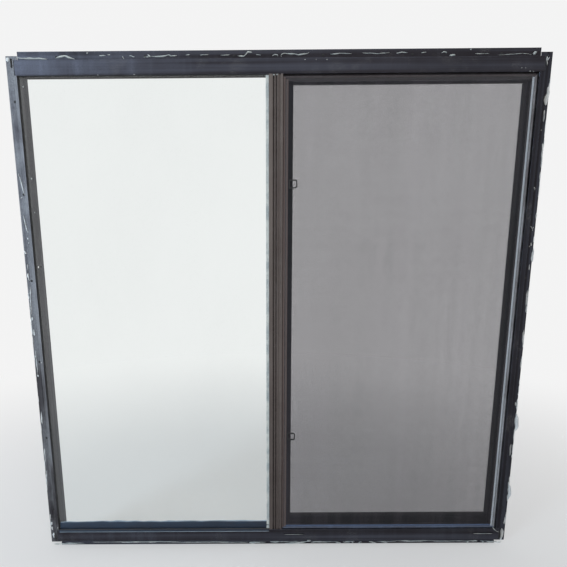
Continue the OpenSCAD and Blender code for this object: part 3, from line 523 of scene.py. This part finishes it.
RIGHT = (
    (7.5, 2.2, ((625, 1159), (624, 1145), (623, 1132), (622, 1118))),
    (3.4, 1.6, ((621, 1109), (621, 1082))), (2.6, 1.4, ((615, 1224), (614, 1216), (617, 1204))),
    (1.8, 1.2, ((620, 1222), (616, 1214))), (4, 1.6, ((624, 1036), (625, 1002))),
    (2.4, 1.1, ((606, 996), (613, 994))), (2, 1.2, ((615, 936), (617, 929))),
    (2.4, 1.2, ((615, 845), (620, 838), (624, 842))), (2, 1.2, ((620, 838), (621, 833))),
    (2.2, 1.1, ((620, 805), (622, 797))), (3.2, 1.6, ((628, 792), (628, 758))),
    (3, 1.5, ((622, 753), (622, 738))), (2.4, 1.3, ((623, 689), (624, 633))),
    (2.6, 1.3, ((624, 587), (624, 551))), (3.4, 1.6, ((621, 396), (623, 385))),
    (8, 3, ((625, 366), (629, 346), (631, 327), (629, 316))), (3, 1.4, ((621, 279), (620, 245))),
    (7.5, 3, ((622, 170), (630, 155), (630, 134), (626, 114))), (3.4, 1.6, ((623, 66), (624, 44))),
    (7, 2.6, ((618, 32), (620, 14), (619, -4))), (3.6, 1.8, ((620, -9), (607, -12))),
)
SILL = (
    (3, 1.4, ((-622, -11), (-605, -10))), (3, 1.2, ((-608, -10), (-561, -9))),
    (2, 1, ((-516, -5), (-354, -5), (-187, -7), (-82, -8))), (4, 1.4, ((-79, -9), (-48, -8))),
    (3, 1.3, ((-21, -6), (7, -6))), (3.4, 1.8, ((21, -11), (49, -11), (70, -8), (87, -4))),
    (5, 2.2, ((82, -4), (93, -3))), (3.4, 1.8, ((93, -8), (124, -7), (157, -8))),
    (3, 1.5, ((160, -7), (177, -11))), (2.6, 1.3, ((181, -8), (202, -8))),
    (3, 1.4, ((206, -6), (211, -11))), (3, 1.4, ((224, -9), (235, -8))),
    (2.6, 1.4, ((254, -7), (275, -11))), (2.8, 1.4, ((288, -7), (306, -11))),
    (1.8, 1, ((312, -5), (396, -5), (523, -7))), (5, 2.2, ((526, -9), (529, -11))),
    (3, 1.4, ((534, -6), (555, -6))), (4, 1.8, ((567, -10), (574, -11))),
    (3, 1.4, ((579, -8), (609, -10))),
)


def lumps(table):
    """A smear for every row of a table, in its order."""
    return [smear(path, width, height) for width, height, path in table]


FIN_TIP = 627.0
BOX_EDGE = 604.2
mesh_piece("sealant_head",
           *joined(lumps(HEAD)
                   + scatter("x", -590, 590, level=1219.2, spread=0.5, width=1.5, height=0.8, share=0.55)),
           sealant, "sealant", "frame")
mesh_piece("sealant_jamb_left",
           *joined(lumps(LEFT)
                   + scatter("z", 10, 700, level=-FIN_TIP + 0.8, spread=0.6, width=1.8, height=1.2, share=0.5)
                   + scatter("z", 10, 1190, level=-BOX_EDGE, spread=0.3, width=1.0, height=0.6, share=0.3)),
           clean_sealant, "sealant", "frame")
mesh_piece("sealant_jamb_right",
           *joined(lumps(RIGHT)
                   + scatter("z", 20, 1180, level=FIN_TIP - 0.8, spread=0.6, width=2.2, height=1.4, share=0.5)
                   + scatter("z", 20, 1190, level=BOX_EDGE, spread=0.3, width=1.2, height=0.7, share=0.3)),
           clean_sealant, "sealant", "frame")
# Crumbs: flecks of sealant on the faces that look outdoors: (x, y, z) in
# millimetres, radius, and how far each is drawn out along x and along z.
BOX_FACE = -22.0
MULLION_FACE = -23.0
CRUMB_STEPS = 10
CRUMBS = (
    ((-583.6, BOX_FACE, 1162.0), 1.3, 1.0, 1.4), ((-587.5, BOX_FACE, 1055.4), 0.8, 1.0, 1.6),
    ((-583.6, BOX_FACE, 961.0), 1.4, 1.0, 1.5), ((-583.4, BOX_FACE, 883.7), 0.9, 0.8, 2.0),
    ((-411.2, BOX_FACE, 1185.6), 1.0, 1.6, 0.7), ((-328.3, BOX_FACE, 1186.0), 1.0, 1.8, 0.7),
    ((549.1, BOX_FACE, 1193.3), 0.9, 1.3, 0.8), ((557.9, BOX_FACE, 1193.3), 0.8, 1.0, 0.8),
    ((568.5, BOX_FACE, 1186.4), 0.9, 1.3, 0.8), ((576.3, BOX_FACE, 1186.2), 0.8, 1.0, 0.9),
    ((58.7, BOX_FACE, 1214.4), 0.9, 1.6, 0.7), ((84.0, BOX_FACE, 1214.6), 0.8, 1.2, 0.7),
    ((108.4, BOX_FACE, 1214.0), 0.9, 1.5, 0.7), ((-610.8, FIN_FACE, 118.0), 1.1, 0.7, 2.4),
    ((-609.0, FIN_FACE, 88.0), 1.2, 0.7, 2.0), ((-598.0, BOX_FACE, 52.0), 1.0, 0.7, 2.2),
    ((-11.5, MULLION_FACE, 1182.6), 1.6, 1.5, 0.9), ((-4.0, MULLION_FACE, 1183.0), 1.3, 1.4, 0.9),
)


def crumb(place, radius, wide, tall):
    """A low dome that looks to -Y, its rim moved in and out by chance."""
    rings = revolve([(radius, -0.15), (radius * 0.95, 0.25), (radius * 0.6, 0.55), (radius * 0.05, 0.65)],
                    CRUMB_STEPS)
    rings[..., :2] *= chance.uniform(0.75, 1.25, (1, CRUMB_STEPS, 1)) * (wide, tall)
    return aimed(rings, place, "-y"), grid_faces(len(rings), CRUMB_STEPS)


# Thin runs of sealant over the sill's two weep slots, and one at its right end.
weeps = [smear(((531, 29.0), (545, 28.7), (566, 29.0), (584, 28.8)), 1.0, 0.5, BOX_FACE),
         smear(((17, 29.0), (34, 28.7), (52, 29.0), (70, 28.8)), 0.8, 0.4, BOX_FACE),
         smear(((581, 50), (587, 42), (596, 35), (602, 34)), 1.6, 1.0, BOX_FACE)]
mesh_piece("sealant_crumbs", *joined([crumb(*row) for row in CRUMBS] + weeps), sealant, "sealant", "frame")
mesh_piece("sealant_sill",
           *joined(lumps(SILL)
                   + scatter("x", -590, 590, level=-6.5, spread=1.2, width=1.6, height=0.9, share=0.85,
                             pitch=40)
                   + scatter("x", -590, 590, level=9.6, spread=0.6, width=2.0, height=1.0, share=0.6)),
           sealant, "sealant", "frame")


# Meeting mullion: a ribbed bar that the fixed pane ends in and the sash closes
# behind. Its bronze is lighter than the frame's.
MULLION = linear(88, 79, 76)
MULLION_PALE = linear(152, 144, 138)
dress(anodised("bronze_mullion", MULLION, MULLION_PALE, ALONG_Z, chalk_sheen=0.22, scuffed=0.35,
               rough=0.34, metal=0.7, groove_shade_soot=0.85), "meeting_mullion")


# Glass: clear float glass 3 mm thick, with a film of dust and dried drops on it.
# The sash's pane, behind the screen, is the grimier one.
def dusty_glass(name, film, clean, dirty):
    """Clear glass tinted from clean to dirty, and roughened up to film, by its dust,
    which is clouds times the specks of dried drops."""
    made, tree, shader, place = painted(name)
    cloud = noise(tree, place, 2.4, (1, 1, 0.7), 6.0, 0.62)
    drops = noise(tree, place, 260.0, (1, 1, 1), 3.0)
    dust = math_node(tree, "MULTIPLY", ramp(tree, cloud, 0.35, 0.75, 0.2, 1.0),
                     ramp(tree, drops, 0.5, 0.75, 0.5, 1.0))
    tree.links.new(mixed(tree, dust, clean, dirty), shader.inputs["Base Color"])
    shader.inputs["Specular IOR Level"].default_value = 0.25
    shader.inputs["Transmission Weight"].default_value = 1.0
    shader.inputs["IOR"].default_value = 1.5
    tree.links.new(ramp(tree, dust, 0.2, 1.0, 0.0, film), shader.inputs["Roughness"])
    return made


dress(dusty_glass("clear_glass", 0.03, (0.94, 0.97, 0.96, 1.0), (0.88, 0.91, 0.90, 1.0)), "fixed_glass")
dress(dusty_glass("grimy_glass", 0.05, (0.90, 0.89, 0.91, 1.0), (0.76, 0.74, 0.76, 1.0)), "sash_glass")


# Glazing rubber: black extruded channels and wedges that hold the panes, dusty
# and a little shrunk; the blocks under the pane are the same rubber. The bead
# beside the mullion is old sealant.
rubber = plain("rubber", linear(22, 22, 24), linear(50, 50, 52),
               rough=0.55, scale=260.0, bump=0.2, depth=0.0003)
dress(rubber, "setting_blocks", "glazing_gasket_left", "glazing_gasket_top", "glazing_gasket_bottom",
      "sash_gasket_left", "sash_gasket_right", "sash_gasket_top", "sash_gasket_bottom", "sash_bumper")
dress(sealant, "mullion_sealant")


# Glazing compound: a blue-black bead run by hand along the foot of the fixed pane,
# up to 22 mm high and 1 mm thick, and the dried line of dirty water above it.
BEAD_STEPS = 110
BEAD_WAVES = 26
PANE_FACE = -17.52


def bead(start, end, low, high, wave, deep, level):
    """A flat bead on a face that looks to -Y at level, from start to end along x. Its
    lower and upper edges are low and high, each a row of heights or one height, and
    the upper one sways by a slow random wave; its thickness swells to deep between."""
    x = np.linspace(start, end, BEAD_STEPS)
    low = np.broadcast_to(low, BEAD_STEPS)
    top = high + wave * np.interp(x, np.linspace(start, end, BEAD_WAVES), chance.normal(0, 1, BEAD_WAVES))
    t = np.array([0.0, 0.10, 0.5, 0.88, 1.0])
    rise = np.array([0.3, 0.9, 1.0, 0.7, 0.05])
    z = low[:, None] + (top - low)[:, None] * t
    front = np.stack([np.repeat(x[:, None], len(t), 1), level - deep * rise + 0 * z, z], -1)
    back = np.stack([front[..., 0], np.full_like(z, level + 0.1), z], -1)[:, ::-1]
    ring = np.concatenate([front, back], axis=1)
    return (ring, tube_faces(BEAD_STEPS, ring.shape[1])), top


compound, crest = bead(-592.0, -24.8, low=46.2, high=66.5, wave=0.7, deep=1.0, level=PANE_FACE)
lip = bead(-594.0, -24.0, low=39.6, high=45.0, wave=0.15, deep=0.5, level=BOX_FACE)[0]
mesh_piece("glazing_compound", *joined([compound, lip]),
           plain("compound", linear(8, 21, 38), linear(20, 43, 64),
                 rough=0.5, scale=200.0, bump=0.4, depth=0.0006, stretch=(0.25, 1, 1)),
           "rubber", "frame")
tide = bead(-590.0, -26.0, low=crest - 0.3, high=crest + 2.4, wave=0.8, deep=0.25, level=PANE_FACE)[0]
# A pale line under the lip, along the top edge of the sill's face: a painted highlight of that edge.
edge_highlight = bead(-594.0, -24.0, low=38.4, high=39.7, wave=0.1, deep=0.35, level=BOX_FACE)[0]
mesh_piece("tide_line_and_edge_highlight", *joined([tide, edge_highlight]),
           plain("dried_dirt_and_highlight", linear(168, 180, 190), linear(112, 130, 142),
                 rough=0.8, scale=260.0, bump=0.3, depth=0.0003, stretch=(0.25, 1, 1)),
           "sealant", "frame")


# Sliding sash: four bronze bars screwed at their corners, in the shade of the
# screen, with cleaner anodising than the frame; their darker, bluer bronze is painted shade.
SASH_SHADED = linear(25, 28, 36)
SASH_PALE_SHADED = linear(58, 70, 88)
dress(anodised("bronze_stile_shaded", SASH_SHADED, SASH_PALE_SHADED, ALONG_Z, chalk_sheen=0.12, scuffed=0.25),
      "sash_lock_stile", "sash_meeting_stile")
dress(anodised("bronze_rail_shaded", SASH_SHADED, SASH_PALE_SHADED, ALONG_X, chalk_sheen=0.16, scuffed=0.25),
      "sash_top_rail", "sash_bottom_rail")


# Rollers and their housings: white nylon wheels on steel pins, in clips of
# moulded nylon in the bottom rail.
nylon = plain("nylon", linear(222, 218, 206), linear(190, 184, 170),
              rough=0.45, scale=400.0, bump=0.15, depth=0.0002)
dress(nylon, "roller_left", "roller_right", "roller_housing_left", "roller_housing_right")


# Pile: dense grey fibres on a woven backing, slid into grooves of the sash's bars,
# where they seal its edges.
pile = plain("pile", linear(92, 92, 96), linear(52, 52, 56),
             rough=0.95, scale=900.0, bump=0.8, depth=0.0010, stretch=(1.0, 0.15, 1.0))
dress(pile, "pile_lock", "pile_meeting", "pile_top", "pile_bottom")


# Latch and pull tabs: a black moulded body on the lock stile with a lever for one
# finger, and two black loops of strip on the mesh, by which the screen is lifted.
black_plastic = plain("black_plastic", linear(20, 20, 21), linear(32, 32, 33),
                      rough=0.42, scale=700.0, bump=0.12, depth=0.0002)
dress(black_plastic, "sash_latch", "latch_lever", "screen_pull_upper", "screen_pull_lower")


# Insect screen: roll-formed bronze bars with mitred corners, and a vinyl cord that
# presses the mesh into their groove. Springs under it push it up.
SCREEN = linear(72, 66, 67)
# The four bars are copies of one bronze, each set as lit as it looks: the bottom rail's pale blue chalk is
# painted sky light, the right stile's near-white chalk a painted highlight, and the left stile's lighter
# brown painted light.
dress(anodised("screen_bronze_top", SCREEN, linear(118, 116, 120), ALONG_X, chalk_sheen=0.20, scuffed=0.3,
               rough=0.33), "screen_top_rail")
dress(anodised("screen_bronze_bottom_sky_lit", SCREEN, linear(118, 138, 168), ALONG_X, chalk_sheen=0.55, scuffed=0.3,
               rough=0.33, groove_shade_soot=0.15), "screen_bottom_rail")
dress(anodised("screen_bronze_left_lit", linear(92, 80, 78), linear(142, 130, 126), ALONG_Z, chalk_sheen=0.25,
               scuffed=0.3, rough=0.33, groove_shade_soot=0.15), "screen_left_stile")
dress(anodised("screen_bronze_right_highlit", SCREEN, linear(196, 201, 208), ALONG_Z, chalk_sheen=0.95, scuffed=0.3,
               rough=0.33, groove_shade_soot=0.05), "screen_right_stile")
dress(plain("spline_vinyl", linear(40, 38, 38), linear(62, 60, 60),
            rough=0.6, scale=700.0, bump=0.4, depth=0.0004), "screen_spline")
dress(plain("spring_steel", linear(150, 148, 145), linear(110, 104, 98),
            rough=0.35, scale=500.0, bump=0.1, depth=0.0002, metal=0.9), "screen_springs")

# Insect mesh: charcoal glass-fibre threads coated with vinyl and fused where
# they cross, 18 by 16 to the inch, stretched flat in the frame.
WARP_PITCH = 1.41
WEFT_PITCH = 1.59
THREAD = 0.58
THREAD_FLAT = 0.8
SWAY_STEP = 0.06
SWAY_SHARE = 0.35


def threads(along, low, high, first, last, pitch, level, bends):
    """Threads side by side, all in one array. Each is a bar of square section set on its
    edge. Its middle line sways by the sum of random steps times SWAY_SHARE, less the
    straight line from its start to where that sum ends."""
    count = int((last - first) / pitch) + 1
    sides = first + pitch * np.arange(count)
    s = np.linspace(low, high, bends)
    sway = chance.normal(0, SWAY_STEP, (count, bends)).cumsum(axis=1) * SWAY_SHARE
    sway -= np.linspace(0, 1, bends) * sway[:, -1:]
    mid = sides[:, None] + sway
    corner = THREAD / 2 * np.array([(1, 0), (0, 1), (-1, 0), (0, -1)])
    across = mid[:, :, None] + corner[:, 0]
    out = np.broadcast_to(level + corner[:, 1] * THREAD_FLAT, across.shape)
    run = np.broadcast_to(s[None, :, None], across.shape)
    order = (across, out, run) if along == "z" else (run, out, across)
    points = np.stack(order, axis=-1)
    one = grid_faces(bends, len(corner))
    if along == "z":
        one = one[:, ::-1]
    faces = (one[None] + (np.arange(count) * bends * 4)[:, None, None]).reshape(-1, 4)
    return points.reshape(-1, 3), faces


mesh_low, mesh_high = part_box("screen_mesh")
x0, x1 = mesh_low.x / MM, mesh_high.x / MM
z0, z1 = mesh_low.z / MM, mesh_high.z / MM
level = (mesh_low.y + mesh_high.y) / 2 / MM
mesh_vinyl = plain("mesh_vinyl", linear(14, 12, 16), linear(25, 22, 26),
                   rough=0.65, scale=500.0, bump=0.1, depth=0.0002)
# Over each bar the threads take a colour as lit as the bar looks: a painted highlight near white on the
# right stile, painted sky light pale blue on the bottom rail, lighter on the left stile, darker on the top
# rail.
tree = mesh_vinyl.node_tree
shader = tree.nodes["Principled BSDF"]
shade = shader.inputs["Base Color"].links[0].from_socket
cloth = put(tree, "ShaderNodeTexCoord").outputs["Object"]
streaks = ramp(tree, noise(tree, cloth, 26.0, (1, 1, 0.06), 5.0, 0.6), 0.38, 0.70, 0.0, 0.45)
shade = mixed(tree, streaks, shade, linear(74, 66, 72))
spot = axes(tree, cloth)
# The axis across each bar, the place of its inner edge and the way from there onto
# the bar, in metres, and the threads' painted colour there.
BAR_LIGHT = (("Z", 1.1695, 0.001, linear(62, 58, 60)), ("Z", 0.0572, -0.001, linear(88, 104, 134)),
            ("X", 0.0226, -0.001, linear(98, 85, 82)), ("X", 0.5762, 0.001, linear(206, 210, 214)))
for side, edge, onto, bar_lit_colour in BAR_LIGHT:
    past = math_node(tree, "SUBTRACT", spot[side], edge)
    on_bar = ramp(tree, math_node(tree, "MULTIPLY", past, 1 / onto), 0.0, 1.0)
    shade = mixed(tree, on_bar, shade, bar_lit_colour)
tree.links.new(shade, shader.inputs["Base Color"])
warp = threads("z", z0, z1, first=x0 + 0.5, last=x1 - 0.5, pitch=WARP_PITCH, level=level, bends=10)
weft = threads("x", x0, x1, first=z0 + 0.5, last=z1 - 0.5, pitch=WEFT_PITCH, level=level + 0.05, bends=7)
insect_mesh = mesh_piece("insect_mesh", *joined([warp, weft]), mesh_vinyl, "insect_mesh", "frame",
                         smooth=False)
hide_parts("screen_mesh")


# Floor: a plain pale studio floor under the window, which keeps its shadow and
# fades into the pale backdrop.
FLOOR_LEVEL = -12.6 * MM
FLOOR_HALF = 6.0
BACKGROUND = (0.90, 0.90, 0.90, 1.0)


def seen(tree):
    """1 for a ray from the camera and for one that a mirror or glass sends on, else 0."""
    path = put(tree, "ShaderNodeLightPath").outputs
    sent_on = math_node(tree, "MAXIMUM", path["Is Glossy Ray"], path["Is Transmission Ray"])
    return math_node(tree, "MAXIMUM", path["Is Camera Ray"], sent_on)


floor_mesh = bpy.data.meshes.new("floor")
floor_mesh.from_pydata([(-FLOOR_HALF, -FLOOR_HALF, FLOOR_LEVEL), (FLOOR_HALF, -FLOOR_HALF, FLOOR_LEVEL),
                        (FLOOR_HALF, FLOOR_HALF, FLOOR_LEVEL), (-FLOOR_HALF, FLOOR_HALF, FLOOR_LEVEL)],
                       [], [(0, 1, 2, 3)])
floor = bpy.data.objects.new("floor", floor_mesh)
bpy.context.scene.collection.objects.link(floor)
floor_paint = bpy.data.materials.new("floor")
floor_paint.use_nodes = True
tree = floor_paint.node_tree
shader = tree.nodes["Principled BSDF"]
shader.inputs["Base Color"].default_value = (0.80, 0.80, 0.80, 1.0)
shader.inputs["Roughness"].default_value = 0.9
place = put(tree, "ShaderNodeTexCoord").outputs["Object"]
far = put(tree, "ShaderNodeVectorMath", {0: place}, operation="LENGTH").outputs["Value"]
glow = put(tree, "ShaderNodeEmission", {"Color": BACKGROUND, "Strength": 1.0}).outputs[0]
fade = math_node(tree, "MULTIPLY", seen(tree), ramp(tree, far, 0.3, 2.4, 0.45, 1.0))
blended = put(tree, "ShaderNodeMixShader", {0: fade, 1: shader.outputs[0], 2: glow}).outputs[0]
tree.links.new(blended, tree.nodes["Material Output"].inputs["Surface"])
floor_mesh.materials.append(floor_paint)


# Backdrop: plain and pale where it is seen, and for the rest a weak cool light
# that comes from all sides.
world = bpy.data.worlds.new("world")
bpy.context.scene.world = world
world.use_nodes = True
tree = world.node_tree
lit = put(tree, "ShaderNodeBackground", {"Color": (0.92, 0.96, 1.0, 1.0), "Strength": 0.35}).outputs[0]
pale = put(tree, "ShaderNodeBackground", {"Color": BACKGROUND, "Strength": 1.0}).outputs[0]
both = put(tree, "ShaderNodeMixShader", {0: seen(tree), 1: lit, 2: pale}).outputs[0]
tree.links.new(both, tree.nodes["World Output"].inputs["Surface"])


# Lamps: a large cool window-like lamp on the left in front, and a weak warm one
# high on the right. Both fade towards their edges, so that the panes mirror them
# as a soft glow without an outline.
LAMP_CORE = 0.12
LAMP_EDGE = 0.5


def lamp(name, place, target, size, power, colour):
    """An area lamp at place that looks at target. Its light is full up to LAMP_CORE
    either side of its middle and falls smoothly to none at its edge, both as shares
    of its width and of its height; the two shares are multiplied."""
    light = bpy.data.lights.new(name, "AREA")
    light.shape = "RECTANGLE"
    light.size, light.size_y = size
    light.energy = power
    light.color = colour
    light.use_nodes = True
    tree = light.node_tree
    across = axes(tree, put(tree, "ShaderNodeNewGeometry").outputs["Parametric"])
    away = [math_node(tree, "ABSOLUTE", math_node(tree, "SUBTRACT", across[side], 0.5)) for side in (0, 1)]
    fades = [ramp(tree, share, LAMP_CORE, LAMP_EDGE, 1.0, 0.0) for share in away]
    tree.links.new(math_node(tree, "MULTIPLY", *fades), tree.nodes["Emission"].inputs["Strength"])
    made = bpy.data.objects.new(name, light)
    aim = (np.array(target) - np.array(place)).tolist()
    made.matrix_world = (Matrix.Translation(place)
                         @ Vector(aim).to_track_quat("-Z", "Y").to_matrix().to_4x4())
    bpy.context.scene.collection.objects.link(made)


lamp("key_lamp", place=(-3.15, -3.0, 1.5), target=(-3.15, 0.0, 1.3), size=(2.3, 2.6), power=390.0,
     colour=(0.70, 0.85, 1.0))
lamp("fill_lamp", place=(0.6, -2.6, 4.6), target=(0.0, 0.0, 0.6), size=(2.4, 1.6), power=104.0,
     colour=(1.0, 0.97, 0.93))
